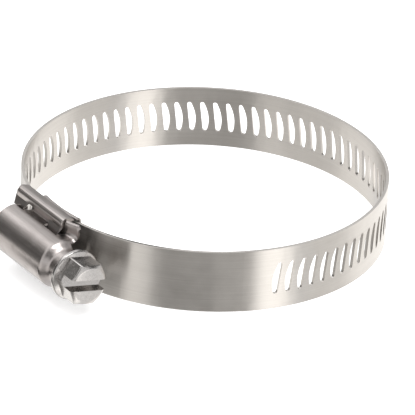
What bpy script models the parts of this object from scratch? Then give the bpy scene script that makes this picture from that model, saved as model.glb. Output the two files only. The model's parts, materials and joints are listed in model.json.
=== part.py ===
"""Worm-drive hose clamp.

A slotted steel band makes a loop. Its plain end is held in a saddle under a screw housing, and its
slotted tail passes over that end, where a worm screw draws it through. The band is one springy strip,
so the bending part of the loop is a chain of short lengths, each turning on the one before it.

The loop's centre is the working origin: the housing lies towards -X, the screw's head points to -Y
and the band's width runs along +Z. Lengths below are in millimetres.
"""
import math

import bmesh
import bpy
from mathutils import Matrix, Vector

MM = 0.001

# Band
BAND_WIDTH = 12.7
BAND_THICKNESS = 0.6
TAIL_RADIUS = 35.55
LAP_GAP = 0.34
SLOT_PITCH = 2.62
SLOT_LENGTH = 6.5
SLOT_MIDDLE_WIDTH = 1.45
SLOT_END_WIDTH = 0.9
SLOT_LEAN = math.radians(7.5)
SLOT_SIDE_POINTS = 5
BEND_STEP = SLOT_PITCH / 2.0

# Lengths of the band
PITCHES_PER_LINK = 3
LINK_COUNT = 14
PLAIN_LINKS = 5
TAIL_SLOTS_TO_WORM = 40
ENGAGED_SLOT_ANGLE = math.radians(538.4)
TAIL_TIP_ANGLE = math.radians(548.0)
TAIL_TIP_TAPER = 1.6
ANCHOR_ANGLE = math.radians(172.0)
CUT_GAP = 0.3

# Screw, measured along its axis from the loop's centre line towards the head
WORM_AXIS = 39.28
WORM_CREST = 3.9
WORM_ROOT = 2.9
THREAD_CREST_WIDTH = 0.7
THREAD_ROOT_WIDTH = 1.2
THREAD_BURIED = 0.4
THREAD_TURNS = 3.0
THREAD_STEPS = 20
CORE_REAR = -6.4
CORE_FRONT = 8.6
NECK_RADIUS = 2.6
PILOT_RADIUS = 2.0
PILOT_END = -7.8
COLLAR_BACK = 13.95
COLLAR_FRONT = 15.25
COLLAR_RADIUS = 5.1
COLLAR_EDGE = 0.3
HEAD_END = 19.62
HEAD_SUNK = 0.6
HEX_FLATS = 7.94
HEAD_CHAMFER_RADIUS = 3.43
HEAD_CHAMFER_HEIGHT = 0.65
HEAD_CHAMFER_REACH = 0.2
DRIVER_SLOT_WIDTH = 2.2
DRIVER_SLOT_DEPTH = 2.8
HEX_TURN = math.radians(11.0)

# Housing
BARREL_RADIUS = 4.95
BARREL_CAVITY = 4.4
BARREL_REAR = -8.0
REAR_WALL = 1.1
REAR_ROUND = 1.0
REAR_ROUND_MIDDLE = 0.3
SHOULDER_BACK = 9.4
SHOULDER_FRONT = 11.5
SHOULDER_ROUND = 0.35
HOUSING_NECK_RADIUS = 4.1
HOUSING_NECK_EDGE = 0.3
HOUSING_FRONT = 13.1
FLANGE_UNDERSIDE = 36.3
FLANGE_TOP = 36.85
FLANGE_HALF_WIDTH = 6.35
FLANGE_REAR = -7.6
FLANGE_SWEEP = 9.6
FLANGE_FRONT = 10.6
FLANGE_FRONT_HALF = 5.3
FLANGE_POINTS = 6
BORE_CLEARANCE = 0.2
WINDOW_OUTER = 39.0
WINDOW_INSIDE_HALF = 3.5
WINDOW_OUTSIDE_HALF = 5.6
WINDOW_SUNK = 0.05
WINDOW_CLEARANCE = 0.4

# Saddle, half widths measured from the middle of the band's width
RAIL_REAR = -9.6
RAIL_FRONT = 6.6
RAIL_INNER = 34.6
RAIL_OUTER = 37.2
RAIL_INSIDE_HALF = 6.65
RAIL_OUTSIDE_HALF = 7.55
FLOOR_INNER = 33.2
FLOOR_SEAT = 33.72
FLOOR_HALF_LENGTH = 4.5
FLOOR_HALF_WIDTH = 6.4
FLOOR_SIDE_FOOT = 34.7
FLOOR_SIDE_TOP = 35.2
FLOOR_SIDE_HALF = 7.3
LUG_LENGTH = 4.4
LUG_FOOT = 36.6
LUG_BEND = (37.6, 6.6)
LUG_INNER = 37.15
LUG_FREE_EDGE = (37.75, 3.95)
LUG_FREE_EDGE_INSIDE = (37.3, 3.9)

# How far a cutter reaches past the face that it opens
CUT_PAST = 1.0
CUT_FLUSH = 0.001

TURN_STEPS = 40
SHARP_ANGLE = math.radians(30.0)
HEX_HALF_STEP = math.radians(30.0)

# Values that follow from the driving dimensions
HALF_WIDTH = BAND_WIDTH / 2.0
HALF_THICKNESS = BAND_THICKNESS / 2.0
LINK_LENGTH = PITCHES_PER_LINK * SLOT_PITCH
TAIL_START = ENGAGED_SLOT_ANGLE - (TAIL_SLOTS_TO_WORM - 0.5) * SLOT_PITCH / TAIL_RADIUS
THREAD_MIDDLE = -TAIL_RADIUS * math.sin(ENGAGED_SLOT_ANGLE)
CHAIN_OFFSET = (BAND_THICKNESS + LAP_GAP) / (1.0 + math.cos(TAIL_START))
CHAIN_RADIUS = TAIL_RADIUS - CHAIN_OFFSET
CHAIN_CENTRE = Vector((CHAIN_OFFSET * math.cos(TAIL_START), CHAIN_OFFSET * math.sin(TAIL_START), 0.0))
LINK_ANGLE = LINK_LENGTH / CHAIN_RADIUS
CHAIN_START = TAIL_START - LINK_COUNT * LINK_ANGLE
HEX_CORNER_RADIUS = HEX_FLATS / math.sqrt(3.0)
LUG_BACKS = (("rear", RAIL_REAR), ("front", RAIL_FRONT - LUG_LENGTH))

# The frame's origin is under the middle of the whole clamp
LEFT = -(WORM_AXIS + COLLAR_RADIUS)
RIGHT = CHAIN_CENTRE.x + CHAIN_RADIUS + HALF_THICKNESS
BACK = TAIL_RADIUS + HALF_THICKNESS
FRONT = CHAIN_CENTRE.y - CHAIN_RADIUS - HALF_THICKNESS
LOOP_CENTRE = Vector((-(LEFT + RIGHT) / 2.0, -(BACK + FRONT) / 2.0, RAIL_OUTSIDE_HALF))

# A flat outline's x runs outward from the loop, its y up and its thickness along the screw
ALONG_SCREW = Matrix(((-1, 0, 0), (0, 0, 1), (0, 1, 0))).to_4x4()
# A turned piece's own axis points along the screw towards its head
TURNED = Matrix.Translation((-WORM_AXIS * MM, 0.0, 0.0)) @ Matrix.Rotation(math.radians(90.0), 4, "X")


def new_collection(name):
    collection = bpy.data.collections.new(name)
    bpy.context.scene.collection.children.link(collection)
    return collection


def steel(name, colour, roughness):
    material = bpy.data.materials.new(name)
    material.use_nodes = True
    shader = material.node_tree.nodes["Principled BSDF"]
    shader.inputs["Base Color"].default_value = (*colour, 1.0)
    shader.inputs["Roughness"].default_value = roughness
    shader.inputs["Metallic"].default_value = 1.0
    return material


def add_object(name, data, collection):
    piece = bpy.data.objects.new(name, data)
    collection.objects.link(piece)
    return piece


def flat_solid(name, outline, half_thickness, collection, holes=()):
    """Fill a closed outline with any holes, thicken it and return it as one welded mesh."""
    curve = bpy.data.curves.new(name + "_outline", "CURVE")
    curve.dimensions = "2D"
    curve.fill_mode = "BOTH"
    curve.extrude = half_thickness * MM
    for points in (outline, *holes):
        spline = curve.splines.new("POLY")
        spline.points.add(len(points) - 1)
        for point, (x, y) in zip(spline.points, points):
            point.co = (x * MM, y * MM, 0.0, 1.0)
        spline.use_cyclic_u = True
    source = add_object(name + "_outline", curve, collection)
    bpy.context.view_layer.update()
    depsgraph = bpy.context.evaluated_depsgraph_get()
    mesh = bpy.data.meshes.new_from_object(source.evaluated_get(depsgraph))
    mesh.name = name
    bpy.data.objects.remove(source)
    bm = bmesh.new()
    bm.from_mesh(mesh)
    bmesh.ops.remove_doubles(bm, verts=bm.verts, dist=1e-6)
    bmesh.ops.recalc_face_normals(bm, faces=bm.faces)
    bm.to_mesh(mesh)
    bm.free()
    return add_object(name, mesh, collection)


def turned_solid(name, profile, collection):
    """Turn a profile of (radius, height) points, listed from the top down, about its own axis."""
    mesh = bpy.data.meshes.new(name)
    bm = bmesh.new()
    corners = [bm.verts.new((radius * MM, 0.0, height * MM)) for radius, height in profile]
    for upper, lower in zip(corners, corners[1:]):
        bm.edges.new((upper, lower))
    bm.to_mesh(mesh)
    bm.free()
    piece = add_object(name, mesh, collection)
    turn = piece.modifiers.new("turn", "SCREW")
    turn.steps = TURN_STEPS
    turn.render_steps = TURN_STEPS
    turn.use_merge_vertices = True
    turn.merge_threshold = 1e-6
    return piece


def box_solid(name, low, high, collection):
    mesh = bpy.data.meshes.new(name)
    bm = bmesh.new()
    size = Vector(high) - Vector(low)
    middle = (Vector(high) + Vector(low)) / 2.0
    place = Matrix.Translation(middle * MM) @ Matrix.Diagonal((*(size * MM), 1.0))
    bmesh.ops.create_cube(bm, size=1.0, matrix=place)
    bm.to_mesh(mesh)
    bm.free()
    return add_object(name, mesh, collection)


def combine(piece, tool, operation):
    modifier = piece.modifiers.new(tool.name, "BOOLEAN")
    modifier.operation = operation
    modifier.object = tool
    modifier.solver = "EXACT"
    tool.hide_render = True
    tool.display_type = "WIRE"


def finish(piece, material, base):
    piece.data.materials.clear()
    piece.data.materials.append(material)
    piece.data.shade_smooth()
    piece.data.set_sharp_from_angle(angle=SHARP_ANGLE)
    piece.parent = base


def slot_outline(middle):
    """One band slot: its leading side is straight, its trailing side bows out, and it leans forward."""
    half_length = SLOT_LENGTH / 2.0
    straight = SLOT_MIDDLE_WIDTH / 2.0
    points = [(straight, -half_length), (straight, half_length)]
    for index in range(SLOT_SIDE_POINTS):
        share = 1.0 - 2.0 * index / (SLOT_SIDE_POINTS - 1)
        width = SLOT_END_WIDTH + (SLOT_MIDDLE_WIDTH - SLOT_END_WIDTH) * (1.0 - share ** 2)
        points.append((straight - width, share * half_length))
    return [(middle + x + y * math.tan(SLOT_LEAN), y) for x, y in points]


def bend(mesh, length, radius, start_angle, centre, pivot):
    """Roll a flat strip onto a circle and put it relative to its pivot."""
    bm = bmesh.new()
    bm.from_mesh(mesh)
    for index in range(1, math.ceil(length / BEND_STEP)):
        bmesh.ops.bisect_plane(
            bm,
            geom=bm.verts[:] + bm.edges[:] + bm.faces[:],
            plane_co=(index * BEND_STEP * MM, 0.0, 0.0),
            plane_no=(1.0, 0.0, 0.0),
        )
    for vert in bm.verts:
        angle = start_angle + vert.co.x / MM / radius
        distance = radius + vert.co.z / MM
        place = centre + Vector((distance * math.cos(angle), distance * math.sin(angle), vert.co.y / MM))
        vert.co = (place - pivot) * MM
    bm.to_mesh(mesh)
    bm.free()


def strip_outline(start, end, taper=0.0):
    """A band length seen flat, with its far corners cut back by the taper."""
    return [
        (start, -HALF_WIDTH),
        (end - taper, -HALF_WIDTH),
        *([(end, -HALF_WIDTH + taper), (end, HALF_WIDTH - taper)] if taper else []),
        (end - taper, HALF_WIDTH),
        (start, HALF_WIDTH),
    ]


def band_piece(name, outline, length, slots, radius, start_angle, centre, pivot, collection):
    holes = [slot_outline((index + 0.5) * SLOT_PITCH) for index in range(slots)]
    piece = flat_solid(name, outline, HALF_THICKNESS, collection, holes)
    bend(piece.data, length, radius, start_angle, centre, pivot)
    piece.location = pivot * MM
    return piece


def make_anchor(parts):
    """The plain end of the band, held in the saddle."""
    length = (CHAIN_START - ANCHOR_ANGLE) * CHAIN_RADIUS
    outline = strip_outline(0.0, length - CUT_GAP / 2.0)
    origin = Vector((0.0, 0.0, 0.0))
    return band_piece(
        "band_anchor", outline, length, 0, CHAIN_RADIUS, ANCHOR_ANGLE, CHAIN_CENTRE, origin, parts
    )


def make_links(parts):
    """The bending lengths of the band. Each has its origin on the hinge at its near end."""
    links = []
    outline = strip_outline(CUT_GAP / 2.0, LINK_LENGTH - CUT_GAP / 2.0)
    for index in range(LINK_COUNT):
        angle = CHAIN_START + index * LINK_ANGLE
        pivot = CHAIN_CENTRE + CHAIN_RADIUS * Vector((math.cos(angle), math.sin(angle), 0.0))
        slots = 0 if index < PLAIN_LINKS else PITCHES_PER_LINK
        name = f"band_link_{index + 1:02d}"
        links.append(
            band_piece(name, outline, LINK_LENGTH, slots, CHAIN_RADIUS, angle, CHAIN_CENTRE, pivot, parts)
        )
    return links


def make_tail(parts):
    """The slotted free end of the band, which turns about the loop's centre through the housing."""
    length = (TAIL_TIP_ANGLE - TAIL_START) * TAIL_RADIUS
    slots = math.floor(length / SLOT_PITCH)
    outline = strip_outline(CUT_GAP / 2.0, length, TAIL_TIP_TAPER)
    origin = Vector((0.0, 0.0, 0.0))
    return band_piece("band_tail", outline, length, slots, TAIL_RADIUS, TAIL_START, origin, origin, parts)


def make_thread(cutters):
    """A helical ridge on the worm, in step with the slots of the band under the screw."""
    mesh = bpy.data.meshes.new("worm_thread")
    bm = bmesh.new()
    buried = WORM_ROOT - THREAD_BURIED
    half_root = THREAD_ROOT_WIDTH / 2.0
    half_crest = THREAD_CREST_WIDTH / 2.0
    start = THREAD_MIDDLE - THREAD_TURNS * SLOT_PITCH / 2.0
    first_turn = Matrix.Rotation(-THREAD_TURNS * math.pi, 3, "Z")
    section = [
        (buried, -half_root),
        (WORM_CREST, -half_crest),
        (WORM_CREST, half_crest),
        (buried, half_root),
    ]
    corners = []
    for radius, height in section:
        corners.append(bm.verts.new(first_turn @ Vector((radius * MM, 0.0, (start + height) * MM))))
    face = bm.faces.new(corners)
    bmesh.ops.spin(
        bm,
        geom=[face],
        cent=(0.0, 0.0, 0.0),
        axis=(0.0, 0.0, 1.0),
        dvec=(0.0, 0.0, SLOT_PITCH * MM / THREAD_STEPS),
        angle=THREAD_TURNS * 2.0 * math.pi,
        steps=round(THREAD_TURNS * THREAD_STEPS),
        use_merge=False,
    )
    open_edges = [edge for edge in bm.edges if edge.is_boundary]
    bmesh.ops.holes_fill(bm, edges=open_edges, sides=0)
    bmesh.ops.recalc_face_normals(bm, faces=bm.faces)
    bm.to_mesh(mesh)
    bm.free()
    return add_object("worm_thread", mesh, cutters)


def make_head(cutters):
    """The hexagon with its chamfered end. The cutter that rounds it comes back too."""
    mesh = bpy.data.meshes.new("hex_head")
    bm = bmesh.new()
    sunk = COLLAR_FRONT - HEAD_SUNK
    middle = Matrix.Translation((0.0, 0.0, (HEAD_END + sunk) / 2.0 * MM))
    # The primitive's first corner lies on +Y, and one corner is wanted HEX_TURN above the outward side
    turn = Matrix.Rotation(HEX_HALF_STEP - HEX_TURN, 4, "Z")
    bmesh.ops.create_cone(
        bm,
        cap_ends=True,
        segments=6,
        radius1=HEX_CORNER_RADIUS * MM,
        radius2=HEX_CORNER_RADIUS * MM,
        depth=(HEAD_END - sunk) * MM,
        matrix=middle @ turn,
    )
    bm.to_mesh(mesh)
    bm.free()
    head = add_object("hex_head", mesh, cutters)
    # The cone meets the hexagon's corners a little above the chamfer's height
    chamfer = turned_solid(
        "head_chamfer",
        [
            (0.0, HEAD_END + CUT_FLUSH),
            (HEAD_CHAMFER_RADIUS, HEAD_END + CUT_FLUSH),
            (HEX_CORNER_RADIUS + HEAD_CHAMFER_REACH, HEAD_END - HEAD_CHAMFER_HEIGHT),
            (HEX_CORNER_RADIUS + HEAD_CHAMFER_REACH, sunk - CUT_PAST),
            (0.0, sunk - CUT_PAST),
        ],
        cutters,
    )
    combine(head, chamfer, "INTERSECT")
    return head, chamfer


def make_screw(parts, cutters):
    core = [
        (0.0, COLLAR_FRONT),
        (COLLAR_RADIUS - COLLAR_EDGE, COLLAR_FRONT),
        (COLLAR_RADIUS, COLLAR_FRONT - COLLAR_EDGE),
        (COLLAR_RADIUS, COLLAR_BACK),
        (NECK_RADIUS, COLLAR_BACK),
        (NECK_RADIUS, CORE_FRONT),
        (WORM_ROOT, CORE_FRONT),
        (WORM_ROOT, CORE_REAR),
        (PILOT_RADIUS, CORE_REAR),
        (PILOT_RADIUS, PILOT_END),
        (0.0, PILOT_END),
    ]
    screw = turned_solid("screw", core, parts)
    head, chamfer = make_head(cutters)
    half_slot = DRIVER_SLOT_WIDTH / 2.0
    slot = box_solid(
        "driver_slot",
        (-HEX_FLATS, -half_slot, HEAD_END - DRIVER_SLOT_DEPTH),
        (HEX_FLATS, half_slot, HEAD_END + CUT_PAST),
        cutters,
    )
    slot.data.transform(Matrix.Rotation(-HEX_TURN, 4, "Z"))
    thread = make_thread(cutters)
    combine(screw, head, "UNION")
    combine(screw, thread, "UNION")
    combine(screw, slot, "DIFFERENCE")
    for piece in (screw, head, chamfer, slot, thread):
        piece.matrix_world = TURNED
    return screw, [head, chamfer, slot, thread]


def flange_outline():
    """The housing's flat foot from above: x towards the head, y across the band, with an S-shaped front."""
    side = []
    for index in range(FLANGE_POINTS):
        share = index / (FLANGE_POINTS - 1)
        ease = share * share * (3.0 - 2.0 * share)
        along = FLANGE_SWEEP + share * (FLANGE_FRONT - FLANGE_SWEEP)
        side.append((along, FLANGE_HALF_WIDTH + ease * (FLANGE_FRONT_HALF - FLANGE_HALF_WIDTH)))
    mirrored = [(along, -half) for along, half in reversed(side)]
    return [(FLANGE_REAR, FLANGE_HALF_WIDTH), *side, *mirrored, (FLANGE_REAR, -FLANGE_HALF_WIDTH)]


def make_windows(cutters):
    """Openings in the barrel's sides where the four lugs are folded in."""
    windows = []
    inner = FLANGE_TOP - WINDOW_SUNK
    for name, back in LUG_BACKS:
        rear = -back + WINDOW_CLEARANCE
        front = -back - LUG_LENGTH - WINDOW_CLEARANCE
        for low, high in ((WINDOW_INSIDE_HALF, WINDOW_OUTSIDE_HALF), (-WINDOW_OUTSIDE_HALF, -WINDOW_INSIDE_HALF)):
            windows.append(box_solid(f"window_{name}", (-WINDOW_OUTER, front, low), (-inner, rear, high), cutters))
    return windows


def make_housing(parts, cutters):
    shoulder = (SHOULDER_FRONT - SHOULDER_BACK) / 3.0
    barrel = [
        (0.0, HOUSING_FRONT),
        (HOUSING_NECK_RADIUS - HOUSING_NECK_EDGE, HOUSING_FRONT),
        (HOUSING_NECK_RADIUS, HOUSING_FRONT - HOUSING_NECK_EDGE),
        (HOUSING_NECK_RADIUS, SHOULDER_FRONT),
        (HOUSING_NECK_RADIUS + SHOULDER_ROUND, SHOULDER_FRONT - shoulder),
        (BARREL_RADIUS - SHOULDER_ROUND, SHOULDER_BACK + shoulder),
        (BARREL_RADIUS, SHOULDER_BACK),
        (BARREL_RADIUS, BARREL_REAR + REAR_ROUND),
        (BARREL_RADIUS - REAR_ROUND_MIDDLE, BARREL_REAR + REAR_ROUND_MIDDLE),
        (BARREL_RADIUS - REAR_ROUND, BARREL_REAR),
        (0.0, BARREL_REAR),
    ]
    housing = turned_solid("housing", barrel, parts)
    housing.matrix_world = TURNED

    flange = flat_solid("flange", flange_outline(), (FLANGE_TOP - FLANGE_UNDERSIDE) / 2.0, cutters)
    middle = (FLANGE_TOP + FLANGE_UNDERSIDE) / 2.0
    # The outline's x runs to -Y, its y up and its thickness to -X
    lie_flat = Matrix(((0, 0, -1), (-1, 0, 0), (0, 1, 0))).to_4x4()
    flange.matrix_world = Matrix.Translation((-middle * MM, 0.0, 0.0)) @ lie_flat

    bore = NECK_RADIUS + BORE_CLEARANCE
    rear_bore = PILOT_RADIUS + BORE_CLEARANCE
    cavity = turned_solid(
        "cavity",
        [
            (0.0, HOUSING_FRONT + CUT_PAST),
            (bore, HOUSING_FRONT + CUT_PAST),
            (bore, SHOULDER_FRONT),
            (BARREL_CAVITY, SHOULDER_BACK),
            (BARREL_CAVITY, BARREL_REAR + REAR_WALL),
            (rear_bore, BARREL_REAR + REAR_WALL),
            (rear_bore, BARREL_REAR - CUT_PAST),
            (0.0, BARREL_REAR - CUT_PAST),
        ],
        cutters,
    )
    cavity.matrix_world = TURNED
    channel = box_solid(
        "channel",
        (-FLANGE_UNDERSIDE, -HOUSING_FRONT - CUT_PAST, -BAND_WIDTH),
        (-FLANGE_UNDERSIDE + 2.0 * BARREL_RADIUS, -BARREL_REAR + CUT_PAST, BAND_WIDTH),
        cutters,
    )
    windows = make_windows(cutters)
    combine(housing, flange, "UNION")
    for tool in (channel, cavity, *windows):
        combine(housing, tool, "DIFFERENCE")
    return housing, [flange, channel, cavity, *windows]


def along_screw_solid(name, outline, back, front, collection):
    """Extrude an outline of (outward, up) points between two places along the screw."""
    piece = flat_solid(name, outline, (front - back) / 2.0, collection)
    piece.matrix_world = Matrix.Translation((0.0, -(front + back) / 2.0 * MM, 0.0)) @ ALONG_SCREW
    return piece


def lug_outline(side):
    """One folded lug in section: from the rail, over the foot and in through the barrel's window."""
    points = [
        (LUG_FOOT, RAIL_INSIDE_HALF),
        (LUG_FOOT, RAIL_OUTSIDE_HALF),
        (RAIL_OUTER, RAIL_OUTSIDE_HALF),
        LUG_BEND,
        LUG_FREE_EDGE,
        LUG_FREE_EDGE_INSIDE,
        (LUG_INNER, RAIL_INSIDE_HALF),
    ]
    return [(outward, side * half) for outward, half in points]


def make_saddle(parts, cutters):
    floor_side = [
        (FLOOR_INNER, FLOOR_HALF_WIDTH),
        (FLOOR_SIDE_FOOT, FLOOR_SIDE_HALF),
        (FLOOR_SIDE_TOP, FLOOR_SIDE_HALF),
        (FLOOR_SIDE_TOP, RAIL_INSIDE_HALF),
        (FLOOR_SEAT, RAIL_INSIDE_HALF),
    ]
    floor = [*floor_side, *[(outward, -half) for outward, half in reversed(floor_side)]]
    saddle = along_screw_solid("saddle", floor, -FLOOR_HALF_LENGTH, FLOOR_HALF_LENGTH, parts)
    tools = []
    for side, side_name in ((1, "top"), (-1, "bottom")):
        rail = [
            (RAIL_INNER, side * RAIL_INSIDE_HALF),
            (RAIL_OUTER, side * RAIL_INSIDE_HALF),
            (RAIL_OUTER, side * RAIL_OUTSIDE_HALF),
            (RAIL_INNER, side * RAIL_OUTSIDE_HALF),
        ]
        tools.append(along_screw_solid(f"rail_{side_name}", rail, RAIL_REAR, RAIL_FRONT, cutters))
        for end_name, back in LUG_BACKS:
            name = f"lug_{side_name}_{end_name}"
            tools.append(along_screw_solid(name, lug_outline(side), back, back + LUG_LENGTH, cutters))
    for tool in tools:
        combine(saddle, tool, "UNION")
    return saddle, tools


def main():
    for existing in list(bpy.data.objects):
        bpy.data.objects.remove(existing)
    parts = new_collection("hose_clamp")
    cutters = new_collection("hose_clamp_cutters")
    base = add_object("loop_centre", None, parts)
    base.location = LOOP_CENTRE * MM

    band_steel = steel("band_steel", (0.62, 0.60, 0.57), 0.28)
    housing_steel = steel("housing_steel", (0.56, 0.54, 0.52), 0.32)
    saddle_steel = steel("saddle_steel", (0.58, 0.56, 0.54), 0.34)
    screw_steel = steel("screw_steel", (0.54, 0.52, 0.50), 0.30)

    screw, screw_tools = make_screw(parts, cutters)
    housing, housing_tools = make_housing(parts, cutters)
    saddle, saddle_tools = make_saddle(parts, cutters)
    band = [make_anchor(parts), *make_links(parts), make_tail(parts)]

    finish(screw, screw_steel, base)
    finish(housing, housing_steel, base)
    finish(saddle, saddle_steel, base)
    for piece in band:
        finish(piece, band_steel, base)
    for tool in screw_tools + housing_tools + saddle_tools:
        tool.parent = base
    bpy.context.view_layer.update()

    print("hinges, millimetres from the frame's origin")
    for piece in (screw, *band):
        print(piece.name, [round(value / MM, 4) for value in piece.matrix_world.translation])
    print("chain centre", [round(value, 4) for value in CHAIN_CENTRE], "radius", round(CHAIN_RADIUS, 4))


main()
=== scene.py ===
# %% [markdown]
# A worm-drive hose clamp, dressed for a studio picture. The frame below holds the plain solids and their
# joints. Each visible piece is made again here with fine shapes and finishes. Most of them are parented to an
# empty named for the body of the solid they stand for; the band's bending pieces, but for the last, are not.

# %% Load the frame
import json
import math

import bmesh
import bpy
from mathutils import Matrix, Quaternion, Vector


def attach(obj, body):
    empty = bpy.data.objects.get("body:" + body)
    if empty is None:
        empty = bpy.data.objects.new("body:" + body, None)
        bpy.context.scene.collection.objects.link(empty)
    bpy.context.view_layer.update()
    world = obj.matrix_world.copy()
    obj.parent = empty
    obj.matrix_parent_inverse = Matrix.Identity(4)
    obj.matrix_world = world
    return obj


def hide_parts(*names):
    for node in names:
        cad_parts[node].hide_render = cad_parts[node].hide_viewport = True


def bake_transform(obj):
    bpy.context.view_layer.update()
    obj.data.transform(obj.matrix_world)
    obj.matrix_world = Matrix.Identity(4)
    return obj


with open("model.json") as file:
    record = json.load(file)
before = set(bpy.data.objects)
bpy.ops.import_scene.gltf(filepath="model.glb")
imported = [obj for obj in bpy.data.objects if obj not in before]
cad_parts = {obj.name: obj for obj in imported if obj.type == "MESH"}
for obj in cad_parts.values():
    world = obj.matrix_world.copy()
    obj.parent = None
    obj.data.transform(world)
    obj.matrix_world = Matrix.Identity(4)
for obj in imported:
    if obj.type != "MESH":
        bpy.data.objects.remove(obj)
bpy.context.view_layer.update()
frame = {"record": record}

MM = 0.001
joints = {joint["name"]: joint for joint in frame["record"]["behaviour"]["joints"]}

# %% [markdown]
# The joints already say where everything is. The tail turns about the loop's centre, the screw has its own
# axis, and the fourteen hinges of the bending stretch lie on one circle. Three of them give that circle's
# centre, and the step from one hinge to the next is three slot pitches, so nothing has to be measured twice.

# %% Read the layout from the joints
LOOP = Vector(joints["tail_feed"]["pos_m"])
HINGES = [Vector(joints[f"bend_{number:02d}"]["pos_m"]) for number in range(1, 15)]
WORM_AXIS = (LOOP.x - joints["screw_turn"]["pos_m"][0]) / MM
PITCHES_PER_LINK = 3


def circle_through(first, second, third):
    """Centre of the circle through three points of one height."""
    ax, ay = first.x, first.y
    bx, by = second.x - ax, second.y - ay
    cx, cy = third.x - ax, third.y - ay
    twice = 2.0 * (bx * cy - by * cx)
    ux = (cy * (bx * bx + by * by) - by * (cx * cx + cy * cy)) / twice
    uy = (bx * (cx * cx + cy * cy) - cx * (bx * bx + by * by)) / twice
    return Vector((ax + ux, ay + uy, first.z))


CHAIN_CENTRE = circle_through(HINGES[0], HINGES[6], HINGES[13])
CHAIN_RADIUS = (HINGES[0] - CHAIN_CENTRE).length
FIRST_ANGLE = math.atan2(HINGES[0].y - CHAIN_CENTRE.y, HINGES[0].x - CHAIN_CENTRE.x)
LINK_ANGLE = 2.0 * math.asin((HINGES[1] - HINGES[0]).length / 2.0 / CHAIN_RADIUS)
PITCH = CHAIN_RADIUS * LINK_ANGLE / PITCHES_PER_LINK
END_ANGLE = FIRST_ANGLE + len(HINGES) * LINK_ANGLE
END_POINT = CHAIN_CENTRE + CHAIN_RADIUS * Vector((math.cos(END_ANGLE), math.sin(END_ANGLE), 0.0))
TAIL_RADIUS = (END_POINT - LOOP).length
TAIL_ANGLE = math.atan2(END_POINT.y - LOOP.y, END_POINT.x - LOOP.x)
print("pitch, mm", round(PITCH / MM, 3))
print("circles of chain and tail, mm", round(CHAIN_RADIUS / MM, 3), round(TAIL_RADIUS / MM, 3))


def place(outward, along, up):
    """A point by the housing: millimetres out from the loop, along the screw to its head, and up."""
    return LOOP + Vector((-outward, -along, up)) * MM


# %% [markdown]
# The camera stands where the photographer stood: a long lens about a metre away, a little over twenty-seven
# degrees up, with the screw's head towards it. The numbers come from fitting the band's two edges to the
# picture. The frame is square, so one focal length in pixels serves both ways.

# %% Set up the camera
FRAME_PIXELS = 415.0
FOCAL_PIXELS = 4991.9
CAMERA_DISTANCE = 0.9727
CAMERA_AZIMUTH = math.radians(-35.2)
CAMERA_ELEVATION = math.radians(27.38)
CAMERA_ROLL = math.radians(2.78)
LOOP_PIXEL = (204.4, 197.0)

scene = bpy.context.scene
scene.view_settings.view_transform = "Standard"
camera = bpy.data.cameras.new("camera")
camera.sensor_width = 36.0
camera.lens = camera.sensor_width * FOCAL_PIXELS / FRAME_PIXELS
camera.clip_end = 10.0
camera_object = bpy.data.objects.new("camera", camera)
scene.collection.objects.link(camera_object)
towards_camera = Vector((
    math.sin(CAMERA_AZIMUTH) * math.cos(CAMERA_ELEVATION),
    -math.cos(CAMERA_AZIMUTH) * math.cos(CAMERA_ELEVATION),
    math.sin(CAMERA_ELEVATION),
))
turn = towards_camera.to_track_quat("Z", "Y") @ Quaternion((0.0, 0.0, 1.0), CAMERA_ROLL)
metres_per_pixel = CAMERA_DISTANCE / FOCAL_PIXELS
middle = FRAME_PIXELS / 2.0
off_centre = Vector((middle - LOOP_PIXEL[0], LOOP_PIXEL[1] - middle, 0.0))
aim = LOOP + turn @ off_centre * metres_per_pixel
camera_object.rotation_mode = "QUATERNION"
camera_object.rotation_quaternion = turn
camera_object.location = aim + towards_camera * CAMERA_DISTANCE
scene.camera = camera_object
print("lens, mm", round(camera.lens, 1))

# %% [markdown]
# A finish is a small graph of shader nodes. Written as sums and products it reads like the recipe it is, so
# one class wraps a socket and turns arithmetic into Math nodes, and one method makes every other node. The
# same class serves the world's nodes.


# %% A short way to write shader graphs
class Wire:
    """A value that flows through a graph; arithmetic on it adds Math nodes."""

    def __init__(self, graph, socket):
        self.graph = graph
        self.socket = socket

    def maths(self, operation, first, second):
        return self.graph.node("ShaderNodeMath", {"operation": operation}, {0: first, 1: second})

    def __add__(self, other):
        return self.maths("ADD", self, other)

    def __radd__(self, other):
        return self.maths("ADD", other, self)

    def __sub__(self, other):
        return self.maths("SUBTRACT", self, other)

    def __rsub__(self, other):
        return self.maths("SUBTRACT", other, self)

    def __mul__(self, other):
        return self.maths("MULTIPLY", self, other)

    def __rmul__(self, other):
        return self.maths("MULTIPLY", other, self)


class Graph:
    """The nodes of a material or of the world."""

    def __init__(self, tree):
        self.tree = tree

    def set(self, socket, value):
        if isinstance(value, Wire):
            self.tree.links.new(value.socket, socket)
        else:
            socket.default_value = value

    def node(self, kind, settings=None, inputs=None, output=0):
        node = self.tree.nodes.new(kind)
        for key, value in (settings or {}).items():
            if key == "stops":
                ramp = node.color_ramp
                while len(ramp.elements) < len(value):
                    ramp.elements.new(1.0)
                for element, (position, colour) in zip(ramp.elements, value):
                    element.position = position
                    element.color = (*colour, 1.0)
            else:
                setattr(node, key, value)
        for key, value in (inputs or {}).items():
            self.set(node.inputs[key], value)
        return Wire(self, node.outputs[output])


class Finish(Graph):
    """One material and the nodes that make it."""

    def __init__(self, name):
        self.material = bpy.data.materials.new(name)
        self.material.use_nodes = True
        super().__init__(self.material.node_tree)
        self.shader = self.tree.nodes["Principled BSDF"]

    def surface(self, **values):
        for key, value in values.items():
            self.set(self.shader.inputs[key.replace("_", " ").title()], value)


print("operators of a wire", [name for name in vars(Wire) if name.endswith(("add__", "sub__", "mul__"))])


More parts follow.
